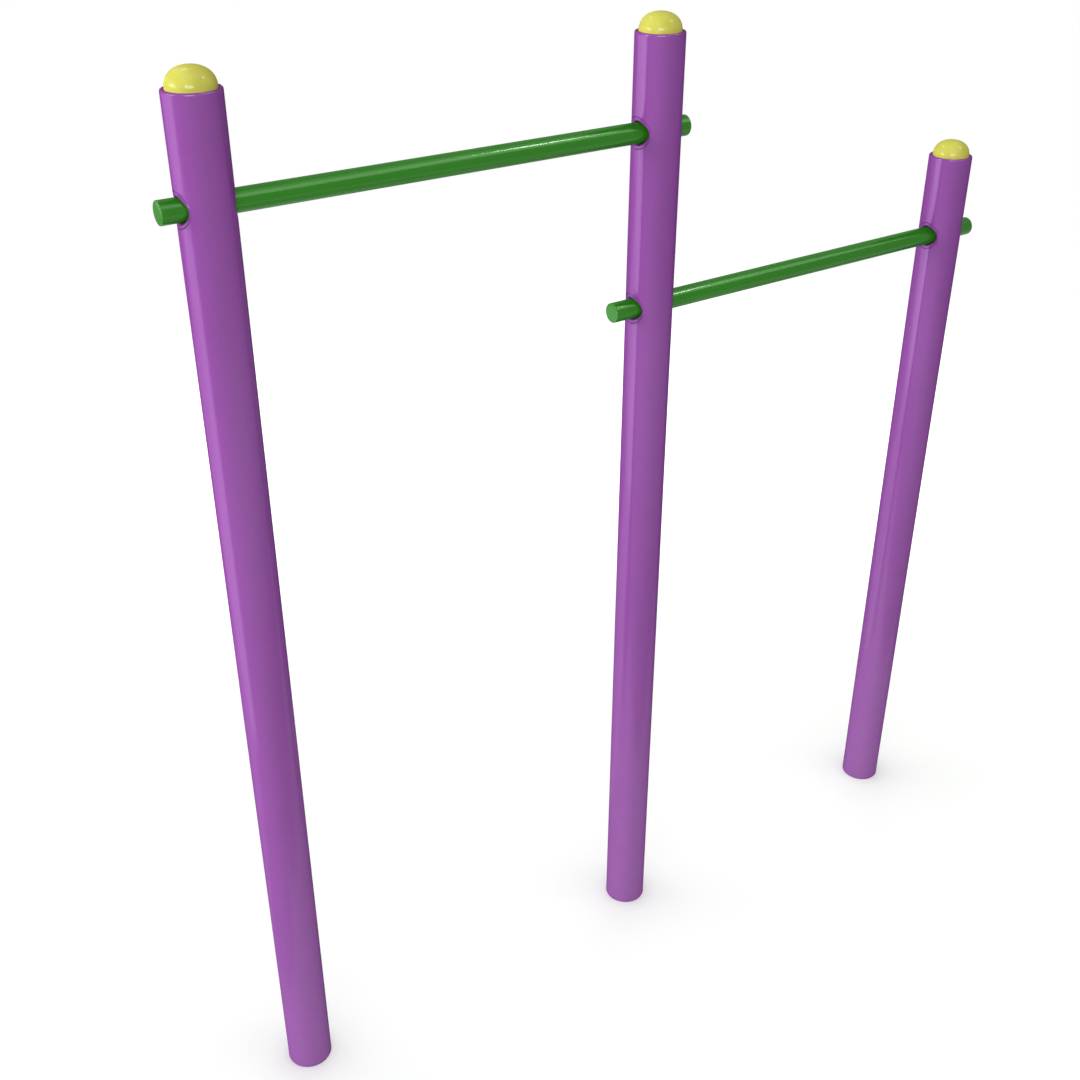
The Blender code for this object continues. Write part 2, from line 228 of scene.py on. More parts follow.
def calculate(tree, operation, first, second, third=None):
    """A math node's output."""
    node = tree.nodes.new("ShaderNodeMath")
    node.operation = operation
    fill(tree, node.inputs[0], first)
    fill(tree, node.inputs[1], second)
    if third is not None:
        fill(tree, node.inputs[2], third)
    return node.outputs[0]


def stretch(tree, value, low, high, new_low, new_high):
    """A value taken from one range to another, clamped."""
    node = tree.nodes.new("ShaderNodeMapRange")
    settle(tree, node.inputs, Value=value, From_Min=low, From_Max=high)
    settle(tree, node.inputs, To_Min=new_low, To_Max=new_high)
    return node.outputs["Result"]


def blend_colours(tree, factor, first, second):
    """A colour between two, by a factor."""
    node = tree.nodes.new("ShaderNodeMix")
    node.data_type = "RGBA"
    settle(tree, node.inputs, Factor=factor, A=first, B=second)
    return node.outputs["Result"]


def orange_peel_group():
    """The small unevenness of a sprayed or moulded surface.

    Height is its ripple, Cloud the slow change of its colour and gloss, and Speckle the
    fine one.
    """
    name = "Orange peel"
    if name in bpy.data.node_groups:
        return bpy.data.node_groups[name]
    group, given, result = new_group(
        name, {"Peel scale": 260.0, "Cloud scale": 9.0}, ("Height", "Cloud", "Speckle")
    )
    place = given["Vector"]
    scale = given["Peel scale"]
    fineness = 3.1
    fine_share = 0.22
    ripple = noise(group, place, scale, 1.5, 0.45)
    fine = noise(group, place, calculate(group, "MULTIPLY", scale, fineness), 2.0)
    height = calculate(group, "MULTIPLY_ADD", fine, fine_share, ripple)
    cloud = stretch(group, noise(group, place, given["Cloud scale"], 3.0, 0.55), 0.32, 0.68, 0.0, 1.0)
    speckle = stretch(group, noise(group, place, scale, 3.0, 0.7), 0.40, 0.66, 0.0, 1.0)
    settle(group, result, Height=height, Cloud=cloud, Speckle=speckle)
    return group


def dust_and_floor_reflection_group():
    """A mask that gets thicker towards the ground: dust, and a painted reflection of the pale floor.
    """
    name = "Ground dust"
    if name in bpy.data.node_groups:
        return bpy.data.node_groups[name]
    group, given, result = new_group(name, {"Reach": 0.12}, ("Mask",))
    split = group.nodes.new("ShaderNodeSeparateXYZ")
    group.links.new(given["Vector"], split.inputs[0])
    low = stretch(group, split.outputs["Z"], 0.0, given["Reach"], 1.0, 0.0)
    thinnest = 0.75
    patches = noise(group, given["Vector"], 40.0, 4.0, 0.6)
    broken = stretch(group, patches, 0.30, 0.70, thinnest, 1.0)
    settle(group, result, Mask=calculate(group, "MULTIPLY", low, broken))
    return group


def place_group(tree, group, **values):
    """A group node in a material, with its inputs filled by name."""
    node = tree.nodes.new("ShaderNodeGroup")
    node.node_tree = group
    settle(tree, node.inputs, **values)
    return node.outputs


def new_material(name, base):
    """A material with its Principled shader, and the shader's tree and inputs."""
    material = bpy.data.materials.new(name)
    material.use_nodes = True
    material.diffuse_color = (*base, 1.0)
    tree = material.node_tree
    shader = tree.nodes["Principled BSDF"]
    return material, tree, shader.inputs


def object_vector(tree):
    """Places on the object, in metres: every piece's origin is the frame's origin."""
    return tree.nodes.new("ShaderNodeTexCoord").outputs["Object"]


def bump(tree, height, distance, strength):
    """A normal from a height in metres."""
    node = tree.nodes.new("ShaderNodeBump")
    settle(tree, node.inputs, Distance=distance, Strength=strength, Height=height)
    return node.outputs["Normal"]


def even_gloss(tree, inputs, weight, fade):
    """A clear gloss layer that fades at the edges, where its reflections get stronger."""
    facing = tree.nodes.new("ShaderNodeLayerWeight").outputs["Facing"]
    straight = calculate(tree, "SUBTRACT", 1.0, facing)
    faded = calculate(tree, "POWER", straight, fade)
    coat = calculate(tree, "MULTIPLY", faded, weight)
    settle(tree, inputs, Coat_Weight=coat, Coat_IOR=1.5, Specular_IOR_Level=0.0)


# Powder coat: drift of its colour and gloss in slow clouds, gloss of its speckles, height
# and strength of its orange peel, and how dust and a painted reflection of the pale floor
# near the ground cover and dull it
CLOUD_TINT = 0.02
CLOUD_GLOSS = 0.03
SPECKLE_GLOSS = (-0.015, 0.02)
PEEL_HEIGHT = 0.00025
PEEL_STRENGTH = 0.16
DUST_AND_REFLECTION_REACH = 1.3
DUST_AND_REFLECTION_GREY = (0.46, 0.46, 0.44, 1.0)
DUST_AND_REFLECTION_COVER = 0.09
DUST_DULLS = 0.06


def powder_coat(name, base, roughness, peel_scale, gloss, with_dust_and_reflection):
    """Gloss powder coat: even colour, orange peel, slow clouds of gloss, a little ground dust and a
    painted reflection of the pale floor.
    """
    if name in bpy.data.materials:
        return bpy.data.materials[name]
    material, tree, inputs = new_material(name, base)
    place = object_vector(tree)
    peel = place_group(
        tree, orange_peel_group(), Vector=place, Peel_scale=peel_scale, Cloud_scale=7.0
    )
    deep = (*[channel * (1 - CLOUD_TINT) for channel in base], 1.0)
    light = (*[min(1.0, channel * (1 + CLOUD_TINT)) for channel in base], 1.0)
    tint = blend_colours(tree, peel["Cloud"], deep, light)
    ends = (roughness - CLOUD_GLOSS, roughness + CLOUD_GLOSS)
    sheen = stretch(tree, peel["Cloud"], 0.0, 1.0, *ends)
    grain = stretch(tree, peel["Speckle"], 0.0, 1.0, *SPECKLE_GLOSS)
    matt = calculate(tree, "ADD", sheen, grain)
    if with_dust_and_reflection:
        # Greyer and duller towards the ground: dust, and a painted reflection of the pale floor
        dust_and_reflection = place_group(tree, dust_and_floor_reflection_group(), Vector=place, Reach=DUST_AND_REFLECTION_REACH)["Mask"]
        cover = calculate(tree, "MULTIPLY", dust_and_reflection, DUST_AND_REFLECTION_COVER)
        tint = blend_colours(tree, cover, tint, DUST_AND_REFLECTION_GREY)
        matt = calculate(tree, "MULTIPLY_ADD", dust_and_reflection, DUST_DULLS, matt)
    normal = bump(tree, peel["Height"], PEEL_HEIGHT, PEEL_STRENGTH)
    settle(tree, inputs, Base_Color=tint, Roughness=matt, Normal=normal, Metallic=0.05)
    settle(tree, inputs, Specular_Tint=(0.3, 0.3, 0.3, 1.0), Coat_Roughness=0.15)
    even_gloss(tree, inputs, *gloss)
    return material


def post_material():
    look = looks()
    finish = {"peel_scale": 240.0, "gloss": (0.95, 2.2), "with_dust_and_reflection": True}
    return powder_coat("glossy_purple_coat", look.post_coat, look.post_roughness, **finish)


def bar_material():
    look = looks()
    finish = {"peel_scale": 300.0, "gloss": (0.55, 0.6), "with_dust_and_reflection": False}
    return powder_coat("glossy_green_coat", look.bar_coat, look.bar_roughness, **finish)


# Caps: the factors of the darkest and lightest clouds, and how far the speckles' gloss goes
CAP_CLOUDS = ((0.93, 0.93, 0.80), (1.04, 1.03, 1.10))
CAP_SPECKLE = (0.02, 0.03)


def cap_material():
    """Moulded plastic: slightly clouded colour, very fine texture, high gloss."""
    name = "moulded_cap_plastic"
    if name in bpy.data.materials:
        return bpy.data.materials[name]
    look = looks()
    material, tree, inputs = new_material(name, look.cap_plastic)
    place = object_vector(tree)
    peel = place_group(
        tree, orange_peel_group(), Vector=place, Peel_scale=420.0, Cloud_scale=38.0
    )
    deep, light = (
        (*[channel * factor for channel, factor in zip(look.cap_plastic, factors)], 1.0)
        for factors in CAP_CLOUDS
    )
    tint = blend_colours(tree, peel["Cloud"], deep, light)
    ends = (look.cap_roughness - CAP_SPECKLE[0], look.cap_roughness + CAP_SPECKLE[1])
    matt = stretch(tree, peel["Speckle"], 0.0, 1.0, *ends)
    normal = bump(tree, peel["Height"], distance=0.00005, strength=0.03)
    settle(tree, inputs, Base_Color=tint, Roughness=matt, Normal=normal, Coat_Roughness=0.20)
    settle(tree, inputs, Subsurface_Weight=0.12, Subsurface_Scale=0.003)
    settle(tree, inputs, Subsurface_Radius=(1.0, 0.9, 0.3))
    even_gloss(tree, inputs, weight=0.55, fade=2.0)
    return material


def bare_metal(name, base, pattern, darkest, gloss, grain):
    """Bare metal: a pattern of darker, duller places and a fine grain."""
    if name in bpy.data.materials:
        return bpy.data.materials[name]
    material, tree, inputs = new_material(name, base)
    place = object_vector(tree)
    tone = pattern(tree, place)
    dark = (*[channel * darkest for channel in base], 1.0)
    tint = blend_colours(tree, tone, (*base, 1.0), dark)
    matt = stretch(tree, tone, 0.0, 1.0, *gloss)
    scale, detail, height, strength = grain
    normal = bump(tree, noise(tree, place, scale, detail), height, strength)
    settle(tree, inputs, Base_Color=tint, Roughness=matt, Normal=normal, Metallic=1.0)
    return material


def flecks(tree, place):
    """The crystalline flecks of zinc plating."""
    cells = tree.nodes.new("ShaderNodeTexVoronoi")
    settle(tree, cells.inputs, Vector=place, Scale=1400.0)
    return stretch(tree, cells.outputs["Distance"], 0.0, 0.8, 0.0, 1.0)


def zinc_material():
    grain = (2600.0, 2.0, 0.00005, 0.35)
    return bare_metal("bright_zinc_plating", looks().zinc, flecks, 0.86, (0.26, 0.42), grain)


def scale_patches(tree, place):
    """Patches of dark mill scale."""
    return stretch(tree, noise(tree, place, 90.0, 4.0, 0.6), 0.4, 0.62, 0.0, 1.0)


def raw_steel_material():
    base = looks().raw_steel
    grain = (900.0, 3.0, 0.0001, 0.4)
    return bare_metal("mill_scale_steel", base, scale_patches, 0.55, (0.38, 0.62), grain)


# Mesh tools


def arc(centre, radius, start, end, steps):
    """Points of an arc in a profile's plane, angles in degrees from outward to up."""
    points = []
    for step in range(steps + 1):
        angle = math.radians(start + (end - start) * step / steps)
        points.append(
            (centre[0] + radius * math.cos(angle), centre[1] + radius * math.sin(angle))
        )
    return points


def bridge(shape, first, second, closed=True):
    """Quads between two rows of corners of equal length."""
    count = len(first)
    for index in range(count if closed else count - 1):
        following = (index + 1) % count
        corners = (first[index], first[following], second[following], second[index])
        shape.faces.new(corners)


def loft(shape, rows, closed=True):
    for first, second in zip(rows, rows[1:]):
        bridge(shape, first, second, closed)


def circles(shape, points, columns, centre=Vector()):
    """Rings of corners round an upright axis, from (radius, height) points."""
    rings = []
    for radius, height in points:
        ring = []
        for column in range(columns):
            angle = math.tau * column / columns
            across = centre.x + radius * math.cos(angle)
            along = centre.y + radius * math.sin(angle)
            ring.append(shape.verts.new((across, along, height)))
        rings.append(ring)
    return rings


def close_end(shape, ring, height):
    """Faces from a ring to a tip on the Z axis."""
    tip = shape.verts.new((0.0, 0.0, height))
    for first, second in zip(ring, ring[1:] + ring[:1]):
        shape.faces.new((first, second, tip))


def turned_mesh(profile, columns):
    """A mesh turned round Z from (radius, height) points that start and end on the axis."""
    shape = bmesh.new()
    rings = circles(shape, profile[1:-1], columns)
    loft(shape, rings)
    close_end(shape, rings[0], profile[0][1])
    close_end(shape, rings[-1], profile[-1][1])
    return shape


def add_object(name, data):
    """An object in the scene."""
    made = bpy.data.objects.new(name, data)
    bpy.context.scene.collection.objects.link(made)
    return made


def add_mesh(name, shape):
    """Turn a finished shape into an object in the scene."""
    mesh = bpy.data.meshes.new(name)
    shape.to_mesh(mesh)
    shape.free()
    return add_object(name, mesh)


def add_piece(name, shape, material, sharp_angle, *replaced):
    """Turn a finished shape into a piece of the object that stands for CAD nodes."""
    bmesh.ops.recalc_face_normals(shape, faces=shape.faces)
    limit = math.radians(sharp_angle)
    for face in shape.faces:
        face.smooth = True
    for edge in shape.edges:
        edge.smooth = len(edge.link_faces) != 2 or edge.calc_face_angle() < limit
    piece = add_mesh(name, shape)
    piece.data.materials.append(material)
    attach(piece, BODY)
    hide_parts(*replaced)
    return piece


def centre_of(node):
    low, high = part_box(node)
    return (low + high) / 2


# Posts

# The groove round a lip: width and relative depth of its shoulders, and its flat bottom as
# shares of its width
GROOVE_SHOULDER = 0.0003
SHOULDER_DEPTH = 0.15
GROOVE_BOTTOM = (0.35, 0.65)

# How fast the faces round a hole go over into the straight rows of the wall
FLARE_POWER = 1.35

# Chamfer of a screw's hole, and its middle's place across and down as shares of it
SCREW_HOLE_CHAMFER = 0.0006
CHAMFER_MIDDLE = (0.3, 0.35)


def skin_ring(radius, distance, depth, angles):
    """A ring of places round a hole at a depth under a wall's skin.

    Places are (outward, across, rise) from the post's axis at the hole's height.
    """
    ring = []
    for angle in angles:
        across = distance * math.sin(angle)
        outward = math.sqrt(radius**2 - across**2) - depth
        ring.append(Vector((outward, across, distance * math.cos(angle))))
    return ring


def lip_rings(angles):
    """The lip from the post's skin over a fine groove and a roll into the hole's flange."""
    given = sizes()
    edge = given.lip_edge_radius
    width = given.lip_groove_width
    groove = given.lip_groove
    shoulder = SHOULDER_DEPTH * groove
    plan = [(edge + GROOVE_SHOULDER, 0.0), (edge, shoulder)]
    plan += [(edge - portion * width, groove) for portion in GROOVE_BOTTOM]
    plan.append((edge - width, shoulder + given.lip_step))
    plan.append((edge - width - GROOVE_SHOULDER, given.lip_step))
    rings = [skin_ring(POST_RADIUS, distance, depth, angles) for distance, depth in plan]

    skin = POST_RADIUS - given.lip_step
    top = given.lip_top_rounding
    for step in range(LIP_STEPS + 1):
        ring = []
        for angle in angles:
            rolling = top + (given.lip_rounding - top) * math.sin(angle) ** 2
            distance = given.mouth_radius + rolling
            across = distance * math.sin(angle)
            outward = math.sqrt((skin - rolling) ** 2 - across**2)
            centre = Vector((outward, across, distance * math.cos(angle)))
            from_skin = Vector((outward, across, 0.0)).normalized()
            from_hole = Vector((0.0, -math.sin(angle), -math.cos(angle)))
            ring.append(centre + rolling * from_skin.slerp(from_hole, step / LIP_STEPS))
        rings.append(ring)

    end = Vector((POST_RADIUS - given.flange_reach, 0.0, 0.0))
    around = [Vector((0.0, math.sin(angle), math.cos(angle))) for angle in angles]
    for distance in (given.mouth_radius, given.mouth_radius + given.flange_wall):
        rings.append([end + distance * outward for outward in around])
    return rings


def place_ring(shape, centre, height, turn, ring):
    """Corners at a ring's places, turned round the post's axis."""
    rotation = Matrix.Rotation(turn, 3, "Z")
    lift = centre + Vector((0.0, 0.0, height))
    return [shape.verts.new(rotation @ place + lift) for place in ring]


def patch_seams(shape, lower, upper):
    """Upright rows of corners between the four patches of a crossing."""
    band = upper[0].co.z - lower[0].co.z
    seams = []
    for patch in range(4):
        column = (patch * QUARTER_COLUMNS - QUARTER_COLUMNS // 2) % POST_COLUMNS
        seam = [lower[column]]
        for row in range(1, SIDE_ROWS):
            place = lower[column].co + Vector((0.0, 0.0, band * row / SIDE_ROWS))
            seam.append(shape.verts.new(place))
        seam.append(upper[column])
        seams.append(seam)
    return seams


def crossing_band(shape, centre, radius, lower, upper, height, holes):
    """The part of a wall at a crossing: four patches, some with a round hole in the middle.

    holes gives each patch's rings of places, or None. It returns the innermost ring of
    each hole.
    """
    seams = patch_seams(shape, lower, upper)
    innermost = []
    for patch in range(4):
        first = patch * QUARTER_COLUMNS - QUARTER_COLUMNS // 2
        columns = [(first + step) % POST_COLUMNS for step in range(QUARTER_COLUMNS + 1)]
        left = seams[patch]
        right = seams[(patch + 1) % 4]
        low_row = [lower[column] for column in columns]
        high_row = [upper[column] for column in columns]
        if holes[patch] is None:
            innermost.append(None)
            fill_patch(shape, low_row, high_row, left, right)
            continue
        turn = math.tau / 4 * patch
        border = low_row[:-1] + right[:-1] + high_row[:0:-1] + left[:0:-1]
        rings = [border]
        spread = spread_rings(centre, radius, height, turn, border, holes[patch][0])
        for ring in spread + holes[patch][1:]:
            rings.append(place_ring(shape, centre, height, turn, ring))
        loft(shape, rings)
        innermost.append(rings[-1])
    return innermost


def spread_rings(centre, radius, height, turn, border, edge):
    """Rings on a wall's skin that go over from a patch's border to the edge of its hole."""
    back = Matrix.Rotation(-turn, 3, "Z")
    rings = []
    for index in range(1, FLARE_RINGS + 1):
        border_share = (1 - index / FLARE_RINGS) ** FLARE_POWER
        ring = []
        for corner, target in zip(border, edge):
            place = back @ (corner.co - centre)
            far = math.atan2(place.y, place.x)
            near = math.asin(target.y / radius)
            angle = near + (far - near) * border_share
            rise = target.z + (place.z - height - target.z) * border_share
            ring.append(Vector((radius * math.cos(angle), radius * math.sin(angle), rise)))
        rings.append(ring)
    return rings


def fill_patch(shape, low_row, high_row, left, right):
    """A patch with no hole, in straight rows."""
    rows = [low_row]
    for step in range(1, SIDE_ROWS):
        row = [left[step]]
        for column in range(1, QUARTER_COLUMNS):
            low = low_row[column].co
            row.append(shape.verts.new((low.x, low.y, left[step].co.z)))
        row.append(right[step])
        rows.append(row)
    rows.append(high_row)
    loft(shape, rows, closed=False)


def hole_angles():
    """Angle round a hole of each corner of its patch's border, from straight up to across."""
    half = math.tau / 8 * POST_RADIUS
    reach = CROSSING_BAND / 2
    points = []
    for step in range(QUARTER_COLUMNS):
        points.append((-half + 2 * half * step / QUARTER_COLUMNS, -reach))
    for step in range(SIDE_ROWS):
        points.append((half, -reach + 2 * reach * step / SIDE_ROWS))
    points += [(-across, -rise) for across, rise in points]
    return [math.atan2(across, rise) for across, rise in points]


def wall_rows(shape, centre, radius, edge_rows, heights, holes):
    """One wall of a post tube between its first and last rows, with its crossings.

    It returns the innermost hole rings of each crossing.
    """
    first, last = edge_rows
    rings_of = []
    row = first
    reach = CROSSING_BAND / 2
    for height in sorted(heights):
        band = ((radius, height - reach), (radius, height + reach))
        lower, upper = circles(shape, band, POST_COLUMNS, centre)
        bridge(shape, row, lower)
        rings_of.append(crossing_band(shape, centre, radius, lower, upper, height, holes))
        row = upper
    bridge(shape, row, last)
    return rings_of


def post_shape(post):
    """A closed post tube: outer skin, rounded rim, bore, foot, and its rolled holes."""
    given = sizes()
    low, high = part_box("post_" + post)
    centre = Vector(((low.x + high.x) / 2, 0.0, 0.0))
    outer = POST_RADIUS
    inner = POST_RADIUS - given.post_wall
    heights = [centre_of(bar + "_bar").z for bar in CROSSINGS[post]]
    shape = bmesh.new()

    rounding = given.foot_rounding
    turned = arc((outer - rounding, rounding), rounding, -90, 0, EDGE_STEPS)
    turned.append((outer, rounding + STRAIGHT_EDGE))
    foot = circles(shape, turned, POST_COLUMNS, centre)
    turned = [(outer, high.z - given.rim_height - STRAIGHT_EDGE)]
    for radius, height in arc((0.0, 0.0), 1.0, 0, 90, RIM_STEPS):
        inward = (1 - radius) * given.rim_depth
        turned.append((outer - inward, high.z - (1 - height) * given.rim_height))
    rim = circles(shape, turned, POST_COLUMNS, centre)
    rounding = given.rim_inner_rounding
    middle = (inner + rounding, high.z - rounding)
    turned = arc(middle, rounding, 90, 180, INNER_RIM_STEPS)
    mouth = circles(shape, turned, POST_COLUMNS, centre)
    base = circles(shape, [(inner, 0.0)], POST_COLUMNS, centre)[0]
    loft(shape, foot)
    loft(shape, rim)
    bridge(shape, rim[-1], mouth[0])
    loft(shape, mouth)
    bridge(shape, base, foot[0])

    angles = hole_angles()
    tapped = SCREW_RADIUS + given.screw_clearance
    chamfer = SCREW_HOLE_CHAMFER
    screw_hole = [
        skin_ring(outer, tapped + across * chamfer, down * chamfer, angles)
        for across, down in ((1, 0), CHAMFER_MIDDLE, (0, 1))
    ]
    bar_hole = lip_rings(angles)
    flange = given.mouth_radius + given.flange_wall
    inner_bar_hole = [skin_ring(inner, flange, 0.0, angles)]
    inner_screw_hole = [skin_ring(inner, tapped, 0.0, angles)]
    outer_holes = [bar_hole, screw_hole, bar_hole, None]
    inner_holes = [inner_bar_hole, inner_screw_hole, inner_bar_hole, None]
    outside = wall_rows(shape, centre, outer, (foot[-1], rim[0]), heights, outer_holes)
    inside = wall_rows(shape, centre, inner, (base, mouth[-1]), heights, inner_holes)
    for outside_rings, inside_rings in zip(outside, inside):
        for ring, opposite in zip(outside_rings, inside_rings):
            if ring:
                bridge(shape, ring, opposite)
    return shape


class PULLUPBAR_OT_posts(bpy.types.Operator):
    """Build the powder-coated post tubes with their rolled holes"""

    bl_idname = "pull_up_bar.posts"
    bl_label = "Posts"

    def execute(self, context):
        for post in CROSSINGS:
            piece = add_piece(
                post + "_post", post_shape(post), post_material(), SHARP["post"], "post_" + post
            )
        return {"FINISHED"}


# Sleeves

# Gaps from a sleeve to the post's bore and to the flange of its hole, and the length of the
# taper behind its mouth
BORE_GAP = 0.0004
FLANGE_GAP = 0.0002
MOUTH_TAPER = 0.002


def sleeve_shape(centre):
    """A sleeve through a post, its ends shaped to the post's bore."""
    given = sizes()
    reach = POST_RADIUS - given.post_wall - BORE_GAP
    inside = POST_RADIUS - given.sleeve_mouth_depth
    outer = given.sleeve_radius
    mouth = given.mouth_radius + given.flange_wall + FLANGE_GAP
    bore = given.sleeve_bore
    half = [(outer, None), (mouth, None), (mouth, inside + MOUTH_TAPER), (bore, inside)]
    plan = [(outer, -1, None)] + [(radius, 1, along) for radius, along in half]
    plan += [(radius, -1, along) for radius, along in half[:0:-1]]
    rows = []
    shape = bmesh.new()
    for radius, side, along in plan:
        row = []
        for column in range(BAR_COLUMNS):
            angle = math.tau * column / BAR_COLUMNS
            across = radius * math.sin(angle)
            end = math.sqrt(reach**2 - across**2)
            distance = end if along is None else min(along, end)
            place = Vector((side * distance, across, radius * math.cos(angle)))
            row.append(shape.verts.new(centre + place))
        rows.append(row)
    rows.append(rows[0])
    loft(shape, rows)
    return shape


def drill(piece, centre):
    """Cut the screw's hole through the back of a sleeve."""
    given = sizes()
    radius = SCREW_RADIUS + given.screw_clearance
    shape = bmesh.new()
    bmesh.ops.create_cone(
        shape,
        cap_ends=True,
        segments=SCREW_COLUMNS,
        radius1=radius,
        radius2=radius,
        depth=given.sleeve_radius,
        matrix=Matrix.Translation(centre + Vector((0.0, given.sleeve_radius, 0.0)))
        @ Matrix.Rotation(math.pi / 2, 4, "X"),
    )
    tool = add_mesh("drill", shape)
    cut = piece.modifiers.new("Drill", "BOOLEAN")
    cut.operation = "DIFFERENCE"
    cut.solver = "EXACT"
    cut.object = tool
    bpy.context.view_layer.update()
    graph = bpy.context.evaluated_depsgraph_get()
    drilled = bpy.data.meshes.new_from_object(piece.evaluated_get(graph))
    piece.modifiers.clear()
    piece.data = drilled
    bpy.data.objects.remove(tool)


class PULLUPBAR_OT_sleeves(bpy.types.Operator):
    """Build the sleeves that hold the bars inside the posts"""

    bl_idname = "pull_up_bar.sleeves"
    bl_label = "Sleeves"

    def execute(self, context):
        for post, bars in CROSSINGS.items():
            for bar in bars:
                name = post + "_" + bar
                node = "sleeve_" + name
                centre = centre_of(node)
                shape = sleeve_shape(centre)
                piece = add_piece(name + "_sleeve", shape, post_material(), SHARP["sleeve"], node)
                drill(piece, centre)
        return {"FINISHED"}


# Bars


def bar_shape(bar):
    """A round bar with closed, slightly rounded ends, along X."""
    given = sizes()
    low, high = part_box(bar + "_bar")
    half = (high.x - low.x) / 2
    rounding = given.bar_rounding
    edge = BAR_RADIUS - rounding
    profile = [(0.0, half), (edge / 2, half)]
    profile += arc((edge, half - rounding), rounding, 90, 0, EDGE_STEPS)
    profile += arc((edge, rounding - half), rounding, 0, -90, EDGE_STEPS)
    profile += [(edge / 2, -half), (0.0, -half)]
    shape = turned_mesh(profile, BAR_COLUMNS)
    turn = Matrix.Rotation(math.pi / 2, 4, "Y")
    shape.transform(Matrix.Translation((low + high) / 2) @ turn)
    return shape


class PULLUPBAR_OT_bars(bpy.types.Operator):
    """Build the powder-coated grip bars with their closed ends"""

    bl_idname = "pull_up_bar.bars"
    bl_label = "Grip bars"

    def execute(self, context):
        for bar in BAR_NAMES:
            node = bar + "_bar"
            nodes = (node, node + "_end_left", node + "_end_right")
            shape = bar_shape(bar)
            piece = add_piece(bar + "_grip_bar", shape, bar_material(), SHARP["bar"], *nodes)
        return {"FINISHED"}


# Caps

# Exponent of the dome's outline, which is an ellipse at 2 and gets fuller above that
DOME_FULLNESS = 2.25

# Ribs round a cap's skirt, and how far their foot and crest reach as shares of their pitch
CAP_RIBS = 2
RIB_FOOT = 0.2
RIB_CREST = 0.06


def cap_profile(rim, bottom):
    """A hollow cap from the top of its dome down to the ribbed skirt and back inside."""
    given = sizes()
    height = given.dome_height
    swell = 2 / DOME_FULLNESS
    profile = [(0.0, rim + height)]
    for step in range(1, DOME_STEPS):
        angle = math.radians(90 * step / DOME_STEPS)
        radius = CAP_RADIUS * math.sin(angle) ** swell
        profile.append((radius, rim + height * math.cos(angle) ** swell))
    profile += [(CAP_RADIUS, rim), (CAP_RADIUS, rim - given.cap_land)]
    core = CAP_RADIUS - given.cap_rib
    start = rim - given.cap_land - given.cap_rib
    profile.append((core, start))
    pitch = (start - bottom) / CAP_RIBS
    rib_outline = [(RIB_FOOT, core), (RIB_CREST, CAP_RADIUS)]
    rib_outline += [(-RIB_CREST, CAP_RADIUS), (-RIB_FOOT, core)]
    for rib in range(CAP_RIBS):
        crest = start - (rib + 0.5) * pitch
        for offset, radius in rib_outline:
            profile.append((radius, crest + offset * pitch))
    profile.append((core, bottom))
    inner = core - given.cap_wall
    profile.append((inner, bottom))
    ceiling = rim + height - given.cap_wall
    for step in range(CEILING_STEPS):
        angle = math.radians(90 * step / CEILING_STEPS)
        profile.append((inner * math.cos(angle), rim + (ceiling - rim) * math.sin(angle)))
    profile.append((0.0, ceiling))
    return profile


class PULLUPBAR_OT_caps(bpy.types.Operator):
    """Build the domed plastic caps"""

    bl_idname = "pull_up_bar.caps"
    bl_label = "Caps"

    def execute(self, context):
        for post in CROSSINGS:
            node = "cap_" + post
            low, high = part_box(node)
            rim = high.z - sizes().dome_height
            shape = turned_mesh(cap_profile(rim, low.z), CAP_COLUMNS)
            shape.transform(Matrix.Translation(((low.x + high.x) / 2, 0.0, 0.0)))
            piece = add_piece(post + "_cap", shape, cap_material(), SHARP["cap"], node)
        return {"FINISHED"}


# Locking screws

# Where a thread's groove starts, is deepest and ends, as shares of the pitch
THREAD_GROOVE = (0.15, 0.55, 0.95)

# Socket: width of its chamfered mouth as a factor, depth of the chamfer and of the drill's tip
SOCKET_MOUTH = 1.12
SOCKET_CHAMFER = 0.0004
SOCKET_TIP = 0.0012


def screw_profile(length):
    """A grub screw from the socket's edge to its tip, with thread grooves."""
    given = sizes()
    groove = given.screw_groove
    pitch = given.screw_pitch
    points = [(SCREW_RADIUS - groove, length), (SCREW_RADIUS, length - groove)]
    height = length - groove
    while height - pitch > pitch:
        for portion, depth in zip(THREAD_GROOVE, (0.0, groove, 0.0)):
            points.append((SCREW_RADIUS - depth, height - portion * pitch))
        height -= pitch
    points.append((SCREW_RADIUS - 2 * groove, 0.0))
    return points


def hexagon_ring(shape, height, scale=1.0):
    """A hexagon with as many corners as the screw's other rings."""
    flat = sizes().socket_width / 2 * scale
    ring = []
    for column in range(SCREW_COLUMNS):
        angle = math.tau * column / SCREW_COLUMNS
        within = (angle + math.pi / 6) % (math.pi / 3) - math.pi / 6
        radius = flat / math.cos(within)
        place = (radius * math.cos(angle), radius * math.sin(angle), height)
        ring.append(shape.verts.new(place))
    return ring


def screw_shape(node):
    """A locking screw with a hexagon socket, its axis along Y."""
    given = sizes()
    low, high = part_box(node)
    length = high.y - low.y
    shape = bmesh.new()
    rings = circles(shape, screw_profile(length), SCREW_COLUMNS)
    loft(shape, rings)
    bottom = length - given.socket_depth
    socket = [
        hexagon_ring(shape, length, SOCKET_MOUTH),
        hexagon_ring(shape, length - SOCKET_CHAMFER),
        hexagon_ring(shape, bottom),
    ]
    bridge(shape, rings[0], socket[0])
    loft(shape, socket)
    close_end(shape, socket[-1], bottom - SOCKET_TIP)
    close_end(shape, rings[-1], 0.0)
    middle = (low + high) / 2
    turn = Matrix.Rotation(-math.pi / 2, 4, "X")
    shape.transform(Matrix.Translation((middle.x, low.y, middle.z)) @ turn)
    return shape


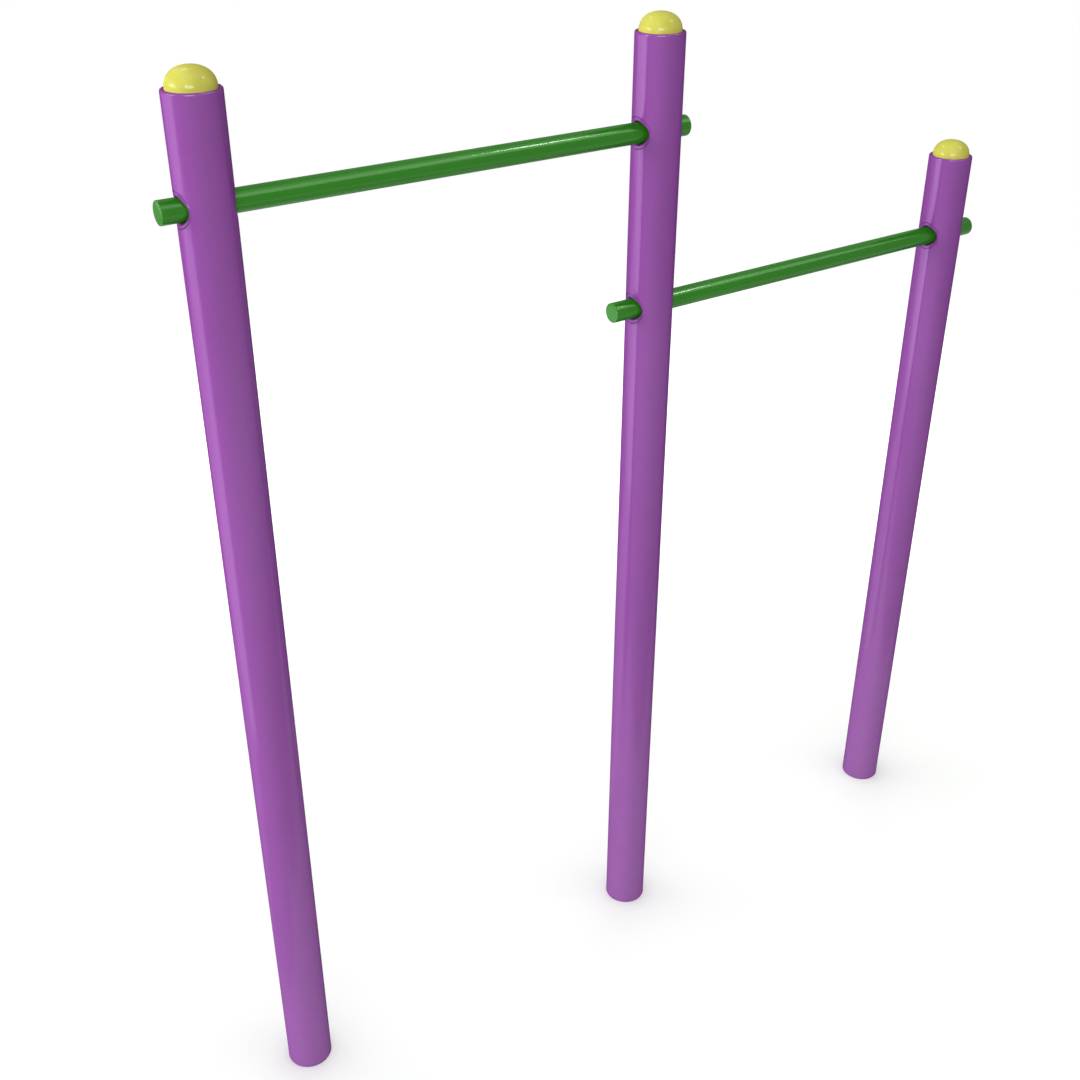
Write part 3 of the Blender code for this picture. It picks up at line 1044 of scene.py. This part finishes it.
class PULLUPBAR_OT_lock_screws(bpy.types.Operator):
    """Build the plated locking screws at the back of the posts"""

    bl_idname = "pull_up_bar.lock_screws"
    bl_label = "Locking screws"

    def execute(self, context):
        for post, bars in CROSSINGS.items():
            for bar in bars:
                name = post + "_" + bar
                node = "lock_screw_" + name
                shape = screw_shape(node)
                piece = add_piece(name + "_screw", shape, zinc_material(), SHARP["screw"], node)
        return {"FINISHED"}


# Pieces that stay as the CAD made them


class PULLUPBAR_OT_inner_pieces(bpy.types.Operator):
    """Give the seat rings under the caps and the discs in the feet their finish"""

    bl_idname = "pull_up_bar.inner_pieces"
    bl_label = "Seat rings and foot discs"

    def execute(self, context):
        for post in CROSSINGS:
            finishes = (("cap_seat_", raw_steel_material()), ("foot_disc_", post_material()))
            for prefix, material in finishes:
                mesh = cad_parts[prefix + post].data
                mesh.materials.clear()
                mesh.materials.append(material)
        return {"FINISHED"}


# Stage: floor, world, lamps and camera

# Camera of the photograph: place, heading from +X and dip in degrees, lens and sensor in mm
CAMERA_PLACE = Vector((-1.85765, -2.2950, 2.8717))
CAMERA_HEADING = 55.6113
CAMERA_DIP = 29.7433
CAMERA_LENS = 45.0459
CAMERA_SENSOR = 36.0

WHITE = (1.0, 1.0, 1.0, 1.0)

# Floor: its size, and its drop below the feet
FLOOR_SIZE = 60.0
FLOOR_DROP = 0.0004

# Its glow near the frame, for what the camera and gloss see, and the distances between which
# that rises to white
FLOOR_GLOW = 0.06
FLOOR_GLOW_NEAR = 1.5
FLOOR_GLOW_FAR = 3.6

# Share of its colour that throws light back on the object, and the distances between which
# it stops throwing light back
FLOOR_BOUNCE = 0.67
FLOOR_NEAR = 2.5
FLOOR_FAR = 6.0

# World: even light, more light from overhead, more light from the bright side, fading
# upwards by a power
WORLD_LIGHT = 0.05
WORLD_OVERHEAD = 0.32
WORLD_SLOPE = 0.80
WORLD_FADE = 2.0
BRIGHT_SIDE = (-0.966, 0.259, 0.0)

# Watts of a lamp for each square metre and unit of radiance
LAMP_WATTS = 4

# Softboxes: heading from +Y towards +X and rise in degrees, as seen from LAMP_AIM over the
# frame's middle, width, height and radiance
LAMP_DISTANCE = 8.0
LAMP_AIM = 1.6
SOFTBOXES = (
    ("side_softbox", -75.0, 15.0, 4.1, 1.5, 12.0),
    ("front_softbox", -145.0, 19.0, 4.7, 1.35, 11.0),
    ("high_softbox", 120.0, 53.0, 0.8, 0.8, 39.0),
    ("back_softbox", -6.0, 53.0, 1.1, 0.6, 32.0),
)

UP = (0.0, 0.0, 1.0)
DOWN = (0.0, 0.0, -1.0)

# Overhead lamp for the floor alone: place, direction, width, height and radiance. The
# softboxes leave the floor out, because their long shadows don't show in the photograph.
FLOOR_LIGHT = ("floor_light", (0.0, 0.0, 8.0), DOWN, 12.0, 12.0, 1.68)

# Soft reflectors that show only in the gloss of the coated tubes, which mirror the pale floor
# and a bright strip overhead, with the same measures
OVER_THE_BARS = (-0.27, 0.66, -0.71)
REFLECTORS = (
    ("floor_reflector", (-5.5, 1.0, 0.002), UP, 6.2, 2.0, 2.2),
    ("inner_floor_reflector", (-1.0, 1.2, 0.002), UP, 2.8, 1.6, 1.0),
    ("far_floor_reflector", (-3.9, 3.4, 0.002), UP, 3.4, 2.8, 1.5),
    ("outer_floor_reflector", (-7.1, 3.4, 0.002), UP, 3.0, 2.8, 2.2),
    ("upright_reflector", (-6.75, 4.8, 0.8), (0.766, -0.643, 0.0), 8.7, 1.6, 2.4),
    ("near_floor_reflector", (0.2, -0.1, 0.002), UP, 3.0, 1.3, 0.6),
    ("high_reflector", (3.95, -3.4, 7.75), OVER_THE_BARS, 8.0, 3.8, 2.5),
    ("upper_reflector", (2.95, -0.97, 10.39), OVER_THE_BARS, 9.0, 3.8, 0.9),
)


def background_rays(tree):
    """1 for what the camera, mirror-like surfaces and glass see, 0 for light on the object."""
    path = tree.nodes.new("ShaderNodeLightPath").outputs
    seen = calculate(tree, "MAXIMUM", path["Is Camera Ray"], path["Is Glossy Ray"])
    return calculate(tree, "MAXIMUM", seen, path["Is Transmission Ray"])


def build_floor():
    """A pale floor that keeps the object's shadow and melts into the background."""
    material, tree, inputs = new_material("studio_floor", looks().floor)
    place = object_vector(tree)
    reach = tree.nodes.new("ShaderNodeVectorMath")
    reach.operation = "LENGTH"
    tree.links.new(place, reach.inputs[0])
    distance = reach.outputs["Value"]
    seen = background_rays(tree)
    away = stretch(tree, distance, FLOOR_NEAR, FLOOR_FAR, 0.0, 1.0)
    bounced = (*[channel * FLOOR_BOUNCE for channel in looks().floor], 1.0)
    near = blend_colours(tree, seen, bounced, (*looks().floor, 1.0))
    tint = blend_colours(tree, away, near, (0.0, 0.0, 0.0, 1.0))
    level = stretch(tree, distance, FLOOR_GLOW_NEAR, FLOOR_GLOW_FAR, FLOOR_GLOW, 1.0)
    glow = calculate(tree, "MULTIPLY", seen, level)
    settle(tree, inputs, Base_Color=tint, Roughness=0.9, Specular_IOR_Level=0.0)
    settle(tree, inputs, Emission_Color=WHITE, Emission_Strength=glow)
    shape = bmesh.new()
    bmesh.ops.create_grid(shape, x_segments=4, y_segments=4, size=FLOOR_SIZE / 2)
    shape.transform(Matrix.Translation((0.0, 0.0, -FLOOR_DROP)))
    floor = add_mesh("studio_floor", shape)
    floor.data.materials.append(material)
    return floor


def build_world():
    """White for the camera and in gloss, and a soft light on the object from one side."""
    world = bpy.data.worlds.new("studio")
    world.use_nodes = True
    tree = world.node_tree
    background = tree.nodes["Background"]
    direction = tree.nodes.new("ShaderNodeTexCoord").outputs["Generated"]
    along = tree.nodes.new("ShaderNodeVectorMath")
    along.operation = "DOT_PRODUCT"
    along.inputs[1].default_value = BRIGHT_SIDE
    tree.links.new(direction, along.inputs[0])
    split = tree.nodes.new("ShaderNodeSeparateXYZ")
    tree.links.new(direction, split.inputs[0])
    high = calculate(tree, "MAXIMUM", split.outputs["Z"], 0.0)
    sky = calculate(tree, "MULTIPLY_ADD", high, WORLD_OVERHEAD, WORLD_LIGHT)
    level = calculate(tree, "SUBTRACT", 1.0, high)
    near_ground = calculate(tree, "POWER", level, WORLD_FADE)
    slope = calculate(tree, "MULTIPLY", along.outputs["Value"], near_ground)
    side = calculate(tree, "MULTIPLY_ADD", slope, WORLD_SLOPE, sky)
    side = calculate(tree, "MAXIMUM", side, 0.0)
    strength = stretch(tree, background_rays(tree), 0.0, 1.0, side, 1.0)
    settle(tree, background.inputs, Color=WHITE, Strength=strength)
    bpy.context.scene.world = world


def build_lamp(targets, name, place, facing, width, height, radiance):
    """A rectangular lamp that faces a direction and lights its targets."""
    lamp = bpy.data.lights.new(name, "AREA")
    lamp.shape = "RECTANGLE"
    lamp.size = width
    lamp.size_y = height
    lamp.energy = LAMP_WATTS * radiance * width * height
    made = add_object(name, lamp)
    made.location = place
    made.rotation_mode = "QUATERNION"
    made.rotation_quaternion = (-Vector(facing)).to_track_quat("Z", "Y")
    made.light_linking.receiver_collection = targets
    return made


def all_but(name, left_out):
    """A collection that makes a lamp leave out some objects and light everything else."""
    targets = bpy.data.collections.new(name)
    for thing in left_out:
        targets.objects.link(thing)
    for entry in targets.collection_objects:
        entry.light_linking.link_state = "EXCLUDE"
    return targets


def caps_in_scene():
    """The three caps, which are the only pieces of moulded plastic."""
    plastic = cap_material()
    return [
        thing
        for thing in bpy.context.scene.objects
        if thing.type == "MESH" and plastic in list(thing.data.materials)
    ]


def build_softbox(targets, name, heading, rise, width, height, radiance):
    """A softbox that looks at the frame."""
    turn = math.radians(heading)
    lift = math.radians(rise)
    away = Vector(
        (math.sin(turn) * math.cos(lift), math.cos(turn) * math.cos(lift), math.sin(lift))
    )
    place = Vector((0.0, 0.0, LAMP_AIM)) + away * LAMP_DISTANCE
    build_lamp(targets, name, place, -away, width, height, radiance)


def build_floor_light(floor):
    """A wide lamp overhead that lights only the floor, so that the object's shadow shows."""
    lit = bpy.data.collections.new("floor_alone")
    lit.objects.link(floor)
    lamp = build_lamp(lit, *FLOOR_LIGHT)
    lamp.visible_glossy = False
    lamp.visible_camera = False


def build_camera():
    """The photograph's camera."""
    heading = math.radians(CAMERA_HEADING)
    dip = math.radians(CAMERA_DIP)
    forward = Vector(
        (math.cos(heading) * math.cos(dip), math.sin(heading) * math.cos(dip), -math.sin(dip))
    )
    right = forward.cross(Vector(UP)).normalized()
    up = right.cross(forward)
    lens = bpy.data.cameras.new("photo_camera")
    lens.lens = CAMERA_LENS
    lens.sensor_width = CAMERA_SENSOR
    camera = add_object("photo_camera", lens)
    turn = Matrix((right, up, -forward)).transposed()
    camera.matrix_world = Matrix.Translation(CAMERA_PLACE) @ turn.to_4x4()
    bpy.context.scene.camera = camera


class PULLUPBAR_OT_stage(bpy.types.Operator):
    """Build the floor, the lights and the camera"""

    bl_idname = "pull_up_bar.stage"
    bl_label = "Studio"

    def execute(self, context):
        floor = build_floor()
        build_floor_light(floor)
        build_world()
        targets = all_but("all_but_the_floor", [floor])
        coated = all_but("all_but_the_floor_and_caps", [floor, *caps_in_scene()])
        for softbox in SOFTBOXES:
            build_softbox(targets, *softbox)
        for reflector in REFLECTORS:
            lamp = build_lamp(coated, *reflector)
            lamp.visible_diffuse = False
            lamp.visible_camera = False
        build_camera()
        context.scene.view_settings.view_transform = "Standard"
        return {"FINISHED"}


OPERATORS = (
    PULLUPBAR_OT_posts,
    PULLUPBAR_OT_sleeves,
    PULLUPBAR_OT_bars,
    PULLUPBAR_OT_caps,
    PULLUPBAR_OT_lock_screws,
    PULLUPBAR_OT_inner_pieces,
    PULLUPBAR_OT_stage,
)


class PULLUPBAR_PT_panel(bpy.types.Panel):
    """Sizes, colours and building steps of the pull-up bar"""

    bl_idname = "PULLUPBAR_PT_panel"
    bl_label = "Pull-up bar"
    bl_space_type = "VIEW_3D"
    bl_region_type = "UI"
    bl_category = "Pull-up bar"

    def draw(self, context):
        for group in (sizes(), looks()):
            box = self.layout.box()
            for name in group.__annotations__:
                box.prop(group, name)
        column = self.layout.column()
        for operator in OPERATORS:
            column.operator(operator.bl_idname)


CLASSES = (PullUpBarSizes, PullUpBarLooks, *OPERATORS, PULLUPBAR_PT_panel)


def register():
    for made in CLASSES:
        bpy.utils.register_class(made)
    bpy.types.Scene.pull_up_bar_sizes = bpy.props.PointerProperty(type=PullUpBarSizes)
    bpy.types.Scene.pull_up_bar_looks = bpy.props.PointerProperty(type=PullUpBarLooks)


def unregister():
    del bpy.types.Scene.pull_up_bar_looks
    del bpy.types.Scene.pull_up_bar_sizes
    for made in reversed(CLASSES):
        bpy.utils.unregister_class(made)


def main():
    register()
    bpy.ops.pull_up_bar.posts()
    bpy.ops.pull_up_bar.sleeves()
    bpy.ops.pull_up_bar.bars()
    bpy.ops.pull_up_bar.caps()
    bpy.ops.pull_up_bar.lock_screws()
    bpy.ops.pull_up_bar.inner_pieces()
    bpy.ops.pull_up_bar.stage()


if __name__ == "__main__":
    main()
